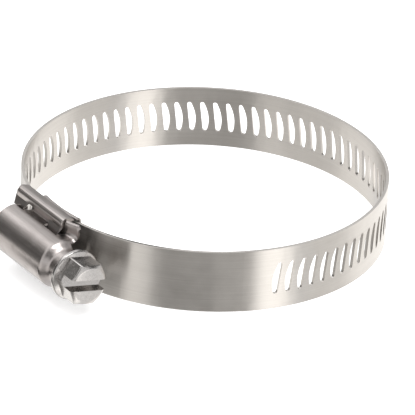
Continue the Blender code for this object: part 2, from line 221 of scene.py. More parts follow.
# %% [markdown]
# Stainless strip is rolled and brushed along its length, so its scratches run with the band: long along it
# and very fine across it. The band's pieces carry their flat strip coordinates, in millimetres, as an
# attribute, and the noise is stretched along the first of them. The grain lifts the roughness and tilts the
# normal a little, and broad soft smudges keep the sheet from looking printed.


# %% Brushed strip for the band
BAND_COLOUR = (0.60, 0.575, 0.545)
BAND_SHADE = (0.47, 0.445, 0.42)
FINE_SCRATCHES = (0.12, 22.0, 1.0)
COARSE_SCRATCHES = (0.03, 3.2, 1.0)
SMUDGES = (0.22, 0.22, 0.22)


def stretched(finish, source, scales, detail):
    """Noise on some coordinates after each axis is scaled."""
    moved = finish.node("ShaderNodeMapping", {}, {"Vector": source, "Scale": scales})
    return finish.node(
        "ShaderNodeTexNoise",
        {"noise_dimensions": "3D"},
        {"Vector": moved, "Scale": 1.0, "Detail": detail, "Roughness": 0.6},
    )


def brushed_strip():
    finish = Finish("brushed_strip")
    strip = finish.node("ShaderNodeAttribute", {"attribute_name": "strip"}, {}, "Vector")
    fine = stretched(finish, strip, FINE_SCRATCHES, 4.0)
    coarse = stretched(finish, strip, COARSE_SCRATCHES, 3.0)
    smudge = stretched(finish, strip, SMUDGES, 3.0)
    grain = fine * 0.6 + coarse * 0.4
    shade = finish.node(
        "ShaderNodeValToRGB",
        {"stops": [(0.30, BAND_SHADE), (0.62, BAND_COLOUR)]},
        {"Fac": grain * 0.7 + smudge * 0.3},
    )
    bump = finish.node(
        "ShaderNodeBump", {}, {"Strength": 0.22, "Distance": 0.00001, "Height": grain}
    )
    finish.surface(
        base_color=shade,
        roughness=0.20 + grain * 0.14 + smudge * 0.10,
        metallic=1.0,
        anisotropic=0.75,
        anisotropic_rotation=0.25,
        normal=bump,
    )
    return finish.material


BAND_STEEL = brushed_strip()
print("made", BAND_STEEL.name)

# %% [markdown]
# The band's strip is flat work before it is rolled round. One pitch of it is a rectangle with a slot: two
# rings of vertices, one pushed out to the rectangle and one in to the slot, with a bridge of faces between
# them. The slot has a straight leading side, a bowed trailing side and round ends, and it leans as the worm's
# thread does. A ring's vertices are dealt out the same way on both outlines, so that the bridge has no twist.

# %% One pitch of slotted strip
BAND_WIDTH = 12.7 * MM
BAND_THICKNESS = 0.6 * MM
SLOT_LENGTH = 6.5 * MM
SLOT_MIDDLE_WIDTH = 1.45 * MM
SLOT_END_WIDTH = 0.95 * MM
SLOT_END_ROUND = 0.5 * MM
SLOT_LEAN = math.radians(7.5)
SIDE_EDGES = 12
END_EDGES = 4
RING_EDGES = 2 * (SIDE_EDGES + END_EDGES)


def deal(index):
    """Which side of an outline a ring's vertex goes to, and how far along it: 0 to 1."""
    count = (index + SIDE_EDGES // 2) % RING_EDGES
    sides = (("lead", SIDE_EDGES), ("top", END_EDGES), ("trail", SIDE_EDGES), ("bottom", END_EDGES))
    for side, edges in sides:
        if count < edges:
            return side, count / edges
        count -= edges


def on_rectangle(index):
    side, share = deal(index)
    x, y = PITCH / 2.0, BAND_WIDTH / 2.0
    return {
        "lead": (x, -y + 2.0 * y * share),
        "top": (x - 2.0 * x * share, y),
        "trail": (-x, y - 2.0 * y * share),
        "bottom": (-x + 2.0 * x * share, -y),
    }[side]


def on_slot(index):
    side, share = deal(index)
    lead = SLOT_MIDDLE_WIDTH / 2.0
    reach = SLOT_LENGTH / 2.0 - SLOT_END_ROUND
    end_half = SLOT_END_WIDTH / 2.0
    swing = math.pi * share
    if side == "lead":
        x, y = lead, -reach + 2.0 * reach * share
    elif side == "trail":
        y = reach - 2.0 * reach * share
        x = lead - SLOT_END_WIDTH - (SLOT_MIDDLE_WIDTH - SLOT_END_WIDTH) * (1.0 - (y / reach) ** 2)
    else:
        direction = 1.0 if side == "top" else -1.0
        x = lead - end_half + direction * end_half * math.cos(swing)
        y = direction * (reach + SLOT_END_ROUND * math.sin(swing))
    return x + y * math.tan(SLOT_LEAN), y


def slotted_pitch():
    bm = bmesh.new()
    for outline in (on_rectangle, on_slot):
        ring = bmesh.ops.create_circle(bm, segments=RING_EDGES, radius=1.0)["verts"]
        for index, vert in enumerate(ring):
            x, y = outline(index)
            vert.co = (x + PITCH / 2.0, y, 0.0)
    bmesh.ops.bridge_loops(bm, edges=bm.edges[:])
    mesh = bpy.data.meshes.new("slotted_pitch")
    bm.to_mesh(mesh)
    bm.free()
    return mesh


def plain_length(length):
    bm = bmesh.new()
    steps = max(1, round(END_EDGES * length / PITCH))
    size = Matrix.Diagonal((length, BAND_WIDTH, 1.0, 1.0))
    fit = Matrix.Translation((length / 2.0, 0.0, 0.0)) @ size
    bmesh.ops.create_grid(bm, x_segments=steps, y_segments=SIDE_EDGES, size=0.5, matrix=fit)
    mesh = bpy.data.meshes.new("plain_length")
    bm.to_mesh(mesh)
    bm.free()
    return mesh


SLOTTED = slotted_pitch()
PLAIN = plain_length(PITCH)
print("faces in a slotted pitch", len(SLOTTED.polygons), "and in a plain one", len(PLAIN.polygons))

# %% [markdown]
# A strip is a row of those pitches, merged, given its thickness and softened along its long edges and round
# its slots, since a press and a brush leave no knife edges. Only then is it rolled: each vertex's distance
# along the strip becomes an angle. Its flat place is kept as the attribute that the finish reads. The cut
# ends between two pieces of one band stay square, so that no line shows where they meet.

# %% Roll a strip onto a circle
EDGE_SOFT = 0.09 * MM
SHARP = math.radians(14.0)
FOLDED = math.radians(57.3)
SAME_PLACE = 1e-6
pieces_made = {}


def add_piece(name, mesh, material):
    mesh.name = name
    mesh.materials.clear()
    mesh.materials.append(material)
    mesh.shade_smooth()
    mesh.set_sharp_from_angle(angle=SHARP)
    piece = bpy.data.objects.new(name, mesh)
    scene.collection.objects.link(piece)
    pieces_made[name] = piece
    return piece


def soften(bm, width, segments, chosen):
    bmesh.ops.bevel(
        bm,
        geom=chosen,
        offset=width,
        offset_type="OFFSET",
        segments=segments,
        profile=0.5,
        affect="EDGES",
        clamp_overlap=True,
        material=-1,
    )


def roll_strip(name, row, centre, radius, start_angle, closed_end=False):
    """row lists (start, mesh) in flat metres; the strip's first start lies at start_angle."""
    bm = bmesh.new()
    for start, mesh in row:
        before = len(bm.verts)
        bm.from_mesh(mesh)
        bm.verts.ensure_lookup_table()
        bmesh.ops.translate(bm, verts=bm.verts[before:], vec=(start, 0.0, 0.0))
    bmesh.ops.remove_doubles(bm, verts=bm.verts, dist=SAME_PLACE)
    bmesh.ops.recalc_face_normals(bm, faces=bm.faces)
    first = min(vert.co.x for vert in bm.verts)
    last = max(vert.co.x for vert in bm.verts)
    bmesh.ops.solidify(bm, geom=bm.faces[:], thickness=BAND_THICKNESS)
    bmesh.ops.recalc_face_normals(bm, faces=bm.faces)
    middle = (max(vert.co.z for vert in bm.verts) + min(vert.co.z for vert in bm.verts)) / 2.0
    bmesh.ops.translate(bm, verts=bm.verts, vec=(0.0, 0.0, -middle))

    def on_cut(edge):
        cuts = [first] if closed_end else [first, last]
        return any(all(abs(vert.co.x - cut) < SAME_PLACE for vert in edge.verts) for cut in cuts)

    corners = [edge for edge in bm.edges if edge.calc_face_angle() > FOLDED]
    soften(bm, EDGE_SOFT, 2, [edge for edge in corners if not on_cut(edge)])
    flat = bm.verts.layers.float_vector.new("strip")
    for vert in bm.verts:
        vert[flat] = vert.co / MM
        angle = start_angle + (vert.co.x - row[0][0]) / radius
        distance = radius + vert.co.z
        vert.co = centre + Vector((distance * math.cos(angle), distance * math.sin(angle), vert.co.y))
    mesh = bpy.data.meshes.new(name)
    bm.to_mesh(mesh)
    bm.free()
    return add_piece(name, mesh, BAND_STEEL)


print("edges softened by, mm", EDGE_SOFT / MM)

# %% [markdown]
# The band bends where the fourteen hinges are. Each piece runs over one hinge, from a land two pitches before
# it to a land one pitch after it, and the pieces meet on lands. They stay where they are built and are
# parented to no body, but for the last one, which rides on the fourteenth link. The first five lengths have
# no slots.

# %% The bending stretch of the band
FIRST_SLOT = 15
LAST_PITCH = PITCHES_PER_LINK * len(HINGES)
ANCHOR_ANGLE = math.radians(172.0)
anchor_length = CHAIN_RADIUS * ((FIRST_ANGLE - ANCHOR_ANGLE) % (2.0 * math.pi))


def pitch_row(first, end):
    return [(number * PITCH, SLOTTED if number >= FIRST_SLOT else PLAIN) for number in range(first, end)]


def chain_angle(distance):
    return FIRST_ANGLE + distance / CHAIN_RADIUS


def blend_over(piece):
    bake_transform(piece)


anchor_row = [(-anchor_length, plain_length(anchor_length)), *pitch_row(0, 1)]
anchor = roll_strip("band_end", anchor_row, CHAIN_CENTRE, CHAIN_RADIUS, chain_angle(-anchor_length))
blend_over(anchor)
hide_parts("band_anchor")
for number in range(1, len(HINGES)):
    first = PITCHES_PER_LINK * (number - 1) + 1
    row = pitch_row(first, first + PITCHES_PER_LINK)
    name = f"band_strip_{number:02d}"
    strip = roll_strip(name, row, CHAIN_CENTRE, CHAIN_RADIUS, chain_angle(first * PITCH))
    blend_over(strip)
    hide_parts(f"band_link_{number:02d}")
row = pitch_row(LAST_PITCH - 2, LAST_PITCH)
strip = roll_strip("band_strip_14", row, CHAIN_CENTRE, CHAIN_RADIUS, chain_angle((LAST_PITCH - 2) * PITCH))
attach(strip, "band_link_14")
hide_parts("band_link_14")
print("band pieces so far", len(pieces_made))

# %% [markdown]
# The tail is the same strip on a slightly larger circle, because it passes over the anchored end. It is
# slotted nearly to its tip, which is cut off at the corners so that it threads into the housing.

# %% The tail of the band
TAIL_TIP_ANGLE = math.radians(188.0)
TAIL_TIP_TAPER = 1.6 * MM
tail_length = TAIL_RADIUS * (TAIL_TIP_ANGLE - TAIL_ANGLE)
tail_slots = math.floor(tail_length / PITCH)
tip_start = tail_slots * PITCH


def tail_tip():
    mesh = plain_length(tail_length - tip_start)
    bm = bmesh.new()
    bm.from_mesh(mesh)
    for side in (1.0, -1.0):
        bmesh.ops.bisect_plane(
            bm,
            geom=bm.verts[:] + bm.edges[:] + bm.faces[:],
            plane_co=(tail_length - tip_start - TAIL_TIP_TAPER, side * BAND_WIDTH / 2.0, 0.0),
            plane_no=(1.0, side, 0.0),
            clear_outer=True,
        )
    bm.to_mesh(mesh)
    bm.free()
    return mesh


offset = LAST_PITCH * PITCH
tail_row = [(offset + number * PITCH, SLOTTED) for number in range(tail_slots)]
tail_row.append((offset + tip_start, tail_tip()))
tail = roll_strip("band_tail_strip", tail_row, LOOP, TAIL_RADIUS, TAIL_ANGLE, closed_end=True)
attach(tail, "band_tail")
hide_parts("band_tail")
print("tail, mm", round(tail_length / MM, 1), "slots", tail_slots)

# %% [markdown]
# The housing and the saddle are pressed from sheet. Pressing leaves a satin skin with faint draw lines along
# the screw, a few scuffs, and duller metal where they are deep. The noise reads the object's own coordinates,
# which run along the screw on Y, and is stretched that way. The screw's head is struck in a die, so its grain
# has no direction.


# %% Pressed and formed steel
SCUFFS = (420.0, 420.0, 420.0)
CLOUDS = (110.0, 110.0, 110.0)
SCUFF_RANGE = {"From Min": 0.56, "From Max": 0.70}


def pressed_steel(name, light, dark, grain, rough):
    finish = Finish(name)
    here = finish.node("ShaderNodeTexCoord", {}, {}, "Object")
    draw = stretched(finish, here, grain, 4.0)
    scuff = stretched(finish, here, SCUFFS, 5.0)
    clouds = stretched(finish, here, CLOUDS, 2.0)
    mark = finish.node("ShaderNodeMapRange", {}, {"Value": scuff, **SCUFF_RANGE})
    shade = finish.node(
        "ShaderNodeValToRGB",
        {"stops": [(0.32, dark), (0.64, light)]},
        {"Fac": draw * 0.5 + clouds * 0.5},
    )
    height = draw * 0.5 + scuff * 0.5
    bump = finish.node("ShaderNodeBump", {}, {"Strength": 0.45, "Distance": 0.00002, "Height": height})
    finish.surface(
        base_color=shade,
        roughness=rough + draw * 0.12 + mark * 0.18,
        metallic=1.0,
        normal=bump,
    )
    return finish.material


HOUSING_STEEL = pressed_steel(
    "pressed_housing",
    light=(0.48, 0.445, 0.43),
    dark=(0.36, 0.328, 0.315),
    grain=(3000.0, 160.0, 3000.0),
    rough=0.24,
)
SADDLE_STEEL = pressed_steel(
    "pressed_saddle",
    light=(0.52, 0.482, 0.465),
    dark=(0.38, 0.35, 0.336),
    grain=(2600.0, 140.0, 2600.0),
    rough=0.26,
)
SCREW_STEEL = pressed_steel(
    "formed_screw",
    light=(0.56, 0.54, 0.525),
    dark=(0.46, 0.44, 0.43),
    grain=(1500.0, 1500.0, 1500.0),
    rough=0.16,
)
print("made", HOUSING_STEEL.name, SADDLE_STEEL.name, SCREW_STEEL.name)

# %% [markdown]
# The housing is one sheet that goes over the worm like a bridge: a flat foot on each side with its edge
# turned down, a hollow bend up to the barrel, and the barrel itself. In front of the saddle's rails the feet
# are wider and sink towards the band, and the barrel is drawn in to a neck, which gives the bright shoulder
# behind the screw's head. A grid of faces is bent to that section at each place along the screw.

# %% The housing's section
BARREL_RADIUS = 4.95
NECK_RADIUS = 3.7
FOOT_TOP = 36.85
FOOT_HALF = 6.35
FOOT_REAR = -7.6
FOOT_BEND = (0.35, 0.95)
FOOT_BEND_GROWS = (6.4, 9.4)
FOOT_FRONT = (9.6, 10.6)
FOOT_FLARE = 0.9
FOOT_FLARES = (6.7, 6.95)
FOOT_DROP = 0.95
FOOT_SHOULDER = (7.0, 10.4)
EDGE_ROUND = 0.5
EDGE_DEPTH = 0.7
BAND_GAP = 0.25
SHOULDER = (9.3, 11.4)
HOUSING_FRONT = 13.1
EDGE_STEPS, FOOT_STEPS, BEND_STEPS, BARREL_STEPS = 6, 4, 8, 48
FOOT_COUNT = EDGE_STEPS + FOOT_STEPS
BEND_COUNT = FOOT_COUNT + BEND_STEPS
HALF_STEPS = BEND_COUNT + BARREL_STEPS // 2
BODY_STEPS, FRONT_STEPS = 60, 48


def ease(value, start, end):
    share = min(1.0, max(0.0, (value - start) / (end - start)))
    return share * share * (3.0 - 2.0 * share)


def housing_section(along, count):
    """Millimetres outward and up of a point of the section; count runs from the foot's edge to the top."""
    drawn = ease(along, *SHOULDER)
    radius = BARREL_RADIUS + drawn * (NECK_RADIUS - BARREL_RADIUS)
    top = FOOT_TOP - FOOT_DROP * ease(along, *FOOT_SHOULDER)
    bend = FOOT_BEND[0] + (FOOT_BEND[1] - FOOT_BEND[0]) * ease(along, *FOOT_BEND_GROWS)
    drop = WORM_AXIS - top - bend
    bend_half = math.sqrt((radius + bend) ** 2 - drop ** 2)
    touch = math.atan2(bend_half, -drop)
    wide = FOOT_HALF + FOOT_FLARE * ease(along, *FOOT_FLARES)
    foot = wide + ease(along, *FOOT_FRONT) * (bend_half + EDGE_ROUND - wide)
    if count < 2:
        band_outside = math.sqrt((TAIL_RADIUS / MM + BAND_THICKNESS / MM / 2.0) ** 2 - along ** 2)
        low = min(max(band_outside + BAND_GAP, top - EDGE_DEPTH), top - EDGE_ROUND)
        return low + (top - EDGE_ROUND - low) * count, foot
    if count <= EDGE_STEPS:
        angle = math.radians(90.0) * (count - 1) / (EDGE_STEPS - 1)
        return top + EDGE_ROUND * (math.sin(angle) - 1.0), foot + EDGE_ROUND * (math.cos(angle) - 1.0)
    if count <= FOOT_COUNT:
        inner = foot - EDGE_ROUND
        return top, inner + (bend_half - inner) * (count - EDGE_STEPS) / FOOT_STEPS
    if count <= BEND_COUNT:
        angle = math.pi + touch * (count - FOOT_COUNT) / BEND_STEPS
        return top + bend + bend * math.cos(angle), bend_half + bend * math.sin(angle)
    angle = touch * (HALF_STEPS - count) / (HALF_STEPS - BEND_COUNT)
    return WORM_AXIS + radius * math.cos(angle), radius * math.sin(angle)


def housing_station(step):
    body_end = FOOT_SHOULDER[0]
    if step <= BODY_STEPS:
        return FOOT_REAR + (body_end - FOOT_REAR) * step / BODY_STEPS
    return body_end + (HOUSING_FRONT - body_end) * (step - BODY_STEPS) / FRONT_STEPS


print("foot to top, mm", round(WORM_AXIS + BARREL_RADIUS - FOOT_TOP, 2))

# %% [markdown]
# The rear of the barrel and the plain parts of the screw are turned shapes. Each is an outline of a few
# corners, some of them rounded by an arc, that is spun about the screw's axis. Another tool takes one shape
# into another's mesh, and a third cuts a slot with a box.

# %% Tools for turned and cut shapes
TURNED = Matrix.Translation(place(WORM_AXIS, 0.0, 0.0)) @ Matrix.Rotation(math.radians(90.0), 4, "X")
TURN_STEPS = 72
ARC_STEPS = 8


def rounded(corners):
    """An outline through corners of (first, second, radius), with an arc at each that has a radius."""
    outline = []
    for index, (first, second, radius) in enumerate(corners):
        corner = Vector((first, second))
        if radius == 0.0:
            outline.append((first, second))
            continue
        back = (Vector(corners[index - 1][:2]) - corner).normalized()
        onward = (Vector(corners[(index + 1) % len(corners)][:2]) - corner).normalized()
        half = back.angle(onward) / 2.0
        centre = corner + (back + onward).normalized() * radius / math.sin(half)
        spoke_in = corner + back * radius / math.tan(half) - centre
        spoke_out = corner + onward * radius / math.tan(half) - centre
        for step in range(ARC_STEPS + 1):
            spoke = spoke_in.lerp(spoke_out, step / ARC_STEPS).normalized()
            outline.append(tuple(centre + spoke * radius))
    return outline


def spun(profile, closed):
    """A turned shape on the screw's axis from (radius, along) millimetres, the axis still on +Z."""
    bm = bmesh.new()
    outline = [bm.verts.new((radius * MM, 0.0, along * MM)) for radius, along in profile]
    following = outline[1:] + outline[:1] if closed else outline[1:]
    chain = [bm.edges.new(pair) for pair in zip(outline, following)]
    bmesh.ops.spin(
        bm,
        geom=outline + chain,
        cent=(0.0, 0.0, 0.0),
        axis=(0.0, 0.0, 1.0),
        angle=2.0 * math.pi,
        steps=TURN_STEPS,
        use_merge=True,
    )
    bmesh.ops.remove_doubles(bm, verts=bm.verts, dist=SAME_PLACE / 10.0)
    bmesh.ops.dissolve_degenerate(bm, edges=bm.edges, dist=SAME_PLACE / 10.0)
    bmesh.ops.recalc_face_normals(bm, faces=bm.faces)
    return bm


def as_mesh(bm, name):
    mesh = bpy.data.meshes.new(name)
    bm.to_mesh(mesh)
    bm.free()
    return mesh


def take(bm, other):
    """Adds another bmesh's faces to bm and frees it."""
    mesh = as_mesh(other, "taken")
    bm.from_mesh(mesh)
    bpy.data.meshes.remove(mesh)


def cut_by_box(bm, fit):
    """The shape less a box, which is a unit cube under a matrix."""
    box = bmesh.new()
    bmesh.ops.create_cube(box, size=1.0, matrix=fit)
    cutter = bpy.data.objects.new("cutter", as_mesh(box, "cutter"))
    target = bpy.data.objects.new("target", as_mesh(bm, "target"))
    for obj in (cutter, target):
        scene.collection.objects.link(obj)
    boolean = target.modifiers.new("cut", "BOOLEAN")
    boolean.operation = "DIFFERENCE"
    boolean.solver = "EXACT"
    boolean.object = cutter
    graph = bpy.context.evaluated_depsgraph_get()
    mesh = bpy.data.meshes.new_from_object(target.evaluated_get(graph))
    for obj in (cutter, target):
        bpy.data.objects.remove(obj)
    result = bmesh.new()
    result.from_mesh(mesh)
    bpy.data.meshes.remove(mesh)
    return result


print("turned shapes have", TURN_STEPS, "sides")

# %% [markdown]
# The bent grid is the outer skin of the housing. Its faces are taken away where the four windows for the
# saddle's lugs are and in front of the feet, and the rest gets the sheet's thickness on its inside. The rear
# of the barrel is a rounded cup with a hole for the screw's pilot, spun and cut off level with the foot.

# %% The housing
SHEET = 0.5
REAR_CUP = rounded([
    (4.95, -6.9, 0.0), (4.95, -8.0, 0.9), (2.2, -8.0, 0.08),
    (2.2, -7.5, 0.0), (4.45, -7.5, 0.5), (4.45, -6.9, 0.0),
])
LUG_STARTS = (-9.6, 2.2)
LUG_LENGTH = 4.4
WINDOW_OUT = (36.8, 39.1)
WINDOW_UP = (3.4, 5.6)
WINDOW_CLEARANCE = 0.4
FOOT_END = 10.0
NECK_FLOOR = 37.6


def cut_away(face):
    """Whether a face of the skin lies in a lug's window or before the foot's front edge."""
    middle = (LOOP - face.calc_center_median()) / MM
    outward, along, half = middle.x, middle.y, abs(middle.z)
    if along > FOOT_END and outward < NECK_FLOOR:
        return True
    if not WINDOW_OUT[0] < outward < WINDOW_OUT[1] or not WINDOW_UP[0] < half < WINDOW_UP[1]:
        return False
    low, high = -WINDOW_CLEARANCE, LUG_LENGTH + WINDOW_CLEARANCE
    return any(low < along - start < high for start in LUG_STARTS)


def make_housing():
    bm = bmesh.new()
    stations = BODY_STEPS + FRONT_STEPS
    bmesh.ops.create_grid(bm, x_segments=stations, y_segments=2 * HALF_STEPS, size=0.5)
    for vert in bm.verts:
        along = housing_station(round((vert.co.x + 0.5) * stations))
        step = round((vert.co.y + 0.5) * 2 * HALF_STEPS)
        side = -1.0 if step < HALF_STEPS else 1.0
        outward, up = housing_section(along, min(step, 2 * HALF_STEPS - step))
        vert.co = place(outward, along, side * up)
    bmesh.ops.delete(bm, geom=[face for face in bm.faces if cut_away(face)], context="FACES")
    bmesh.ops.recalc_face_normals(bm, faces=bm.faces)
    top = min(bm.faces, key=lambda face: face.calc_center_median().x)
    if top.normal.x > 0.0:
        bmesh.ops.reverse_faces(bm, faces=bm.faces)
    bmesh.ops.solidify(bm, geom=bm.faces[:], thickness=SHEET * MM)
    bmesh.ops.recalc_face_normals(bm, faces=bm.faces)
    cup = spun(REAR_CUP, True)
    cup.transform(TURNED)
    cut = bmesh.ops.bisect_plane(
        cup,
        geom=cup.verts[:] + cup.edges[:] + cup.faces[:],
        plane_co=place(FOOT_TOP - SHEET, 0.0, 0.0),
        plane_no=(1.0, 0.0, 0.0),
        clear_outer=True,
    )
    open_edges = [item for item in cut["geom_cut"] if isinstance(item, bmesh.types.BMEdge)]
    bmesh.ops.holes_fill(cup, edges=open_edges)
    take(bm, cup)
    return add_piece("housing_shell", as_mesh(bm, "housing"), HOUSING_STEEL)


housing = make_housing()
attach(housing, "frame")
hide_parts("housing")
furthest = max((LOOP.x - vert.co.x) / MM for vert in housing.data.vertices)
print("housing faces", len(housing.data.polygons), "outermost, mm", round(furthest, 3))

# %% [markdown]
# The saddle is pressed from one strip: a curved floor under the band, a rail up each edge of it, and four
# lugs that are folded over the housing's feet and in through its windows. A rail is lofted through rings, so
# that its top can be crowned and its ends rounded. A lug is a small plate bent over the foot, narrower at its
# free end. The floor is a sheet bent round the loop with its edges turned up to the rails.

# %% The saddle
RAIL_SECTION = rounded([
    (34.62, 6.65, 0.0), (34.62, 7.17, 0.3), (37.5, 7.81, 1.06), (37.5, 5.8, 0.08), (37.12, 5.8, 0.08),
    (37.12, 6.65, 0.25),
])
RAIL_OUTER = max(outward for outward, up in RAIL_SECTION)
RAIL_TOP = max(up for outward, up in RAIL_SECTION)
RAIL_INSIDE = min(up for outward, up in RAIL_SECTION)
RAIL_REAR, REAR_ROUND_LENGTH, REAR_ROUND_HEIGHT = -9.6, 0.9, 0.62
RAIL_FRONT, FRONT_ROUND_LENGTH, FRONT_ROUND_HEIGHT = 6.6, 0.25, 0.1
RAIL_FIXED = 35.0
RAIL_SINK = 0.12
LUG_PATH = rounded([(36.95, 6.9, 0.0), (37.2, 5.85, 1.5), (37.98, 4.1, 0.0)])
LUG_SHEET = 0.42
LUG_CREASE = 5.75
LUG_TAPER = (0.4, 0.9)
FLOOR_ALONG = (-4.5, 6.75)
FLOOR_PATH = rounded([(35.0, 7.02, 0.0), (33.84, 7.02, 0.75), (33.84, 5.4, 0.0)])
FLOOR_SHEET = 0.44
FLOOR_STEPS = 20
SOFT = 0.1


def round_end(end, length, height):
    """Places along a rail from its end to its full height, each with how much lower it is there."""
    turns = [math.radians(90.0) * step / ARC_STEPS for step in range(ARC_STEPS + 1)]
    return [(end + length * (1.0 - math.cos(turn)), height * (1.0 - math.sin(turn))) for turn in turns]


def rail(side):
    bm = bmesh.new()
    rings = []
    rear = round_end(RAIL_REAR, REAR_ROUND_LENGTH, REAR_ROUND_HEIGHT)
    front = round_end(RAIL_FRONT, -FRONT_ROUND_LENGTH, FRONT_ROUND_HEIGHT)
    for along, shrink in rear + front[::-1]:
        ring = bmesh.ops.create_circle(bm, segments=len(RAIL_SECTION), radius=1.0)["verts"]
        for vert, (outward, up) in zip(ring, RAIL_SECTION):
            outward -= shrink * max(0.0, (outward - RAIL_FIXED) / (RAIL_OUTER - RAIL_FIXED))
            up -= RAIL_SINK * shrink * (up - RAIL_INSIDE) / (RAIL_TOP - RAIL_INSIDE)
            vert.co = place(outward, along, side * up)
        rings.append([edge for edge in bm.edges if all(vert in ring for vert in edge.verts)])
    for lower, upper in zip(rings, rings[1:]):
        bmesh.ops.bridge_loops(bm, edges=lower + upper)
    bmesh.ops.holes_fill(bm, edges=rings[0] + rings[-1])
    bmesh.ops.recalc_face_normals(bm, faces=bm.faces)
    return bm


def bent_plate(path, steps, sheet, lay):
    """A sheet along a path of (outward, up); lay gives a vertex's place from its point and share."""
    bm = bmesh.new()
    bmesh.ops.create_grid(bm, x_segments=steps, y_segments=len(path) - 1, size=0.5)
    for vert in bm.verts:
        point = path[round((vert.co.y + 0.5) * (len(path) - 1))]
        vert.co = lay(point, vert.co.x + 0.5)
    bmesh.ops.recalc_face_normals(bm, faces=bm.faces)
    bm.normal_update()
    middle = sum((vert.co for vert in bm.verts), Vector()) / len(bm.verts)
    bmesh.ops.solidify(bm, geom=bm.faces[:], thickness=sheet * MM)
    bmesh.ops.recalc_face_normals(bm, faces=bm.faces)
    bm.normal_update()
    shift = middle - sum((vert.co for vert in bm.verts), Vector()) / len(bm.verts)
    bmesh.ops.translate(bm, verts=bm.verts, vec=shift)
    rim = [edge for edge in bm.edges if edge.calc_face_angle() > FOLDED]
    soften(bm, SOFT * MM, 2, rim)
    return bm


def lug(side, start):
    tip = min(up for outward, up in LUG_PATH)

    def lay(point, share):
        outward, up = point
        narrow = max(0.0, (LUG_CREASE - up) / (LUG_CREASE - tip))
        begin = start + LUG_TAPER[0] * narrow
        end = start + LUG_LENGTH - LUG_TAPER[1] * narrow
        return place(outward, begin + (end - begin) * share, side * up)

    return bent_plate(LUG_PATH, 6, LUG_SHEET, lay)


def saddle_floor():
    path = FLOOR_PATH + [(outward, -up) for outward, up in reversed(FLOOR_PATH)]
    centre_out = (LOOP.x - CHAIN_CENTRE.x) / MM
    centre_along = (LOOP.y - CHAIN_CENTRE.y) / MM

    def lay(point, share):
        outward, up = point
        along = FLOOR_ALONG[0] + (FLOOR_ALONG[1] - FLOOR_ALONG[0]) * share
        bent = math.sqrt((outward - centre_out) ** 2 - (along - centre_along) ** 2) + centre_out
        return place(bent, along, up)

    return bent_plate(path, FLOOR_STEPS, FLOOR_SHEET, lay)


def make_saddle():
    bm = bmesh.new()
    for side in (1.0, -1.0):
        take(bm, rail(side))
        for start in LUG_STARTS:
            take(bm, lug(side, start))
    take(bm, saddle_floor())
    return add_piece("saddle_pressing", as_mesh(bm, "saddle"), SADDLE_STEEL)


saddle = make_saddle()
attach(saddle, "frame")
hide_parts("saddle")
print("saddle faces", len(saddle.data.polygons))

# %% [markdown]
# The screw is cold formed and rolled. Its plain parts are one spun outline: pilot, worm core, neck and a
# collar with a rounded rim and a slightly conical front. The thread is a small section spun along the axis as
# it goes round. The head starts as rings of seventy-two points: a hexagon at the collar, the same hexagon cut
# by a cone, and the round end face. A box cuts the driver slot, with a floor that leans a little.

# %% The screw
WORM_ROOT, WORM_CREST = 2.9, 3.9
COLLAR_FRONT = 15.2
HEAD_SUNK = 0.35
HEAD_END = 19.62
HEX_FLAT = 7.94 / 2.0
END_RADIUS = 3.43
CONE_SLOPE = 2.083
HEX_CORNER_ANGLE = math.radians(169.0)
HEAD_SOFT = 0.14
HEAD_RIDGE = math.radians(20.0)
DRIVER_WIDTH, DRIVER_DEPTH, DRIVER_REACH, DRIVER_ABOVE = 2.2, 2.8, 12.0, 1.0
DRIVER_FLOOR_LEAN = 0.31
SHANK = rounded([
    (0.0, -7.8, 0.0), (2.0, -7.8, 0.2), (2.0, -6.4, 0.0), (WORM_ROOT, -6.4, 0.2), (WORM_ROOT, 8.4, 0.0),
    (2.6, 8.7, 0.0), (2.6, 13.95, 0.0), (5.1, 13.95, 0.36), (5.1, 14.92, 0.3), (4.0, COLLAR_FRONT, 0.0),
    (0.0, COLLAR_FRONT, 0.0),
])
THREAD_HALF_ROOT, THREAD_HALF_CREST, THREAD_SUNK = 0.6, 0.35, 0.3
THREAD_TURNS, THREAD_STEPS = 3.0, 48
THREAD_MIDDLE = -0.99


def hex_radius(angle):
    sector = (angle - HEX_CORNER_ANGLE) % math.radians(60.0) - math.radians(30.0)
    return HEX_FLAT / math.cos(sector)


def cone_height(angle):
    return HEAD_END - (hex_radius(angle) - END_RADIUS) / CONE_SLOPE


def head_ring(bm, radius_at, height_at):
    ring = bmesh.ops.create_circle(bm, segments=TURN_STEPS, radius=1.0)["verts"]
    for index, vert in enumerate(ring):
        angle = HEX_CORNER_ANGLE + 2.0 * math.pi * index / TURN_STEPS
        radius = radius_at(angle) * MM
        vert.co = (radius * math.cos(angle), radius * math.sin(angle), height_at(angle) * MM)
    return [edge for edge in bm.edges if all(vert in ring for vert in edge.verts)]


def make_head():
    bm = bmesh.new()
    rings = [
        head_ring(bm, hex_radius, lambda angle: COLLAR_FRONT - HEAD_SUNK),
        head_ring(bm, hex_radius, cone_height),
        head_ring(bm, lambda angle: END_RADIUS, lambda angle: HEAD_END),
    ]
    for lower, upper in zip(rings, rings[1:]):
        bmesh.ops.bridge_loops(bm, edges=lower + upper)
    bmesh.ops.holes_fill(bm, edges=rings[0] + rings[-1])
    bmesh.ops.recalc_face_normals(bm, faces=bm.faces)

    def in_front(edge):
        return max(vert.co.z for vert in edge.verts) > COLLAR_FRONT * MM

    ridges = [edge for edge in bm.edges if in_front(edge) and edge.calc_face_angle() > HEAD_RIDGE]
    soften(bm, HEAD_SOFT * MM, 2, ridges)
    return bm


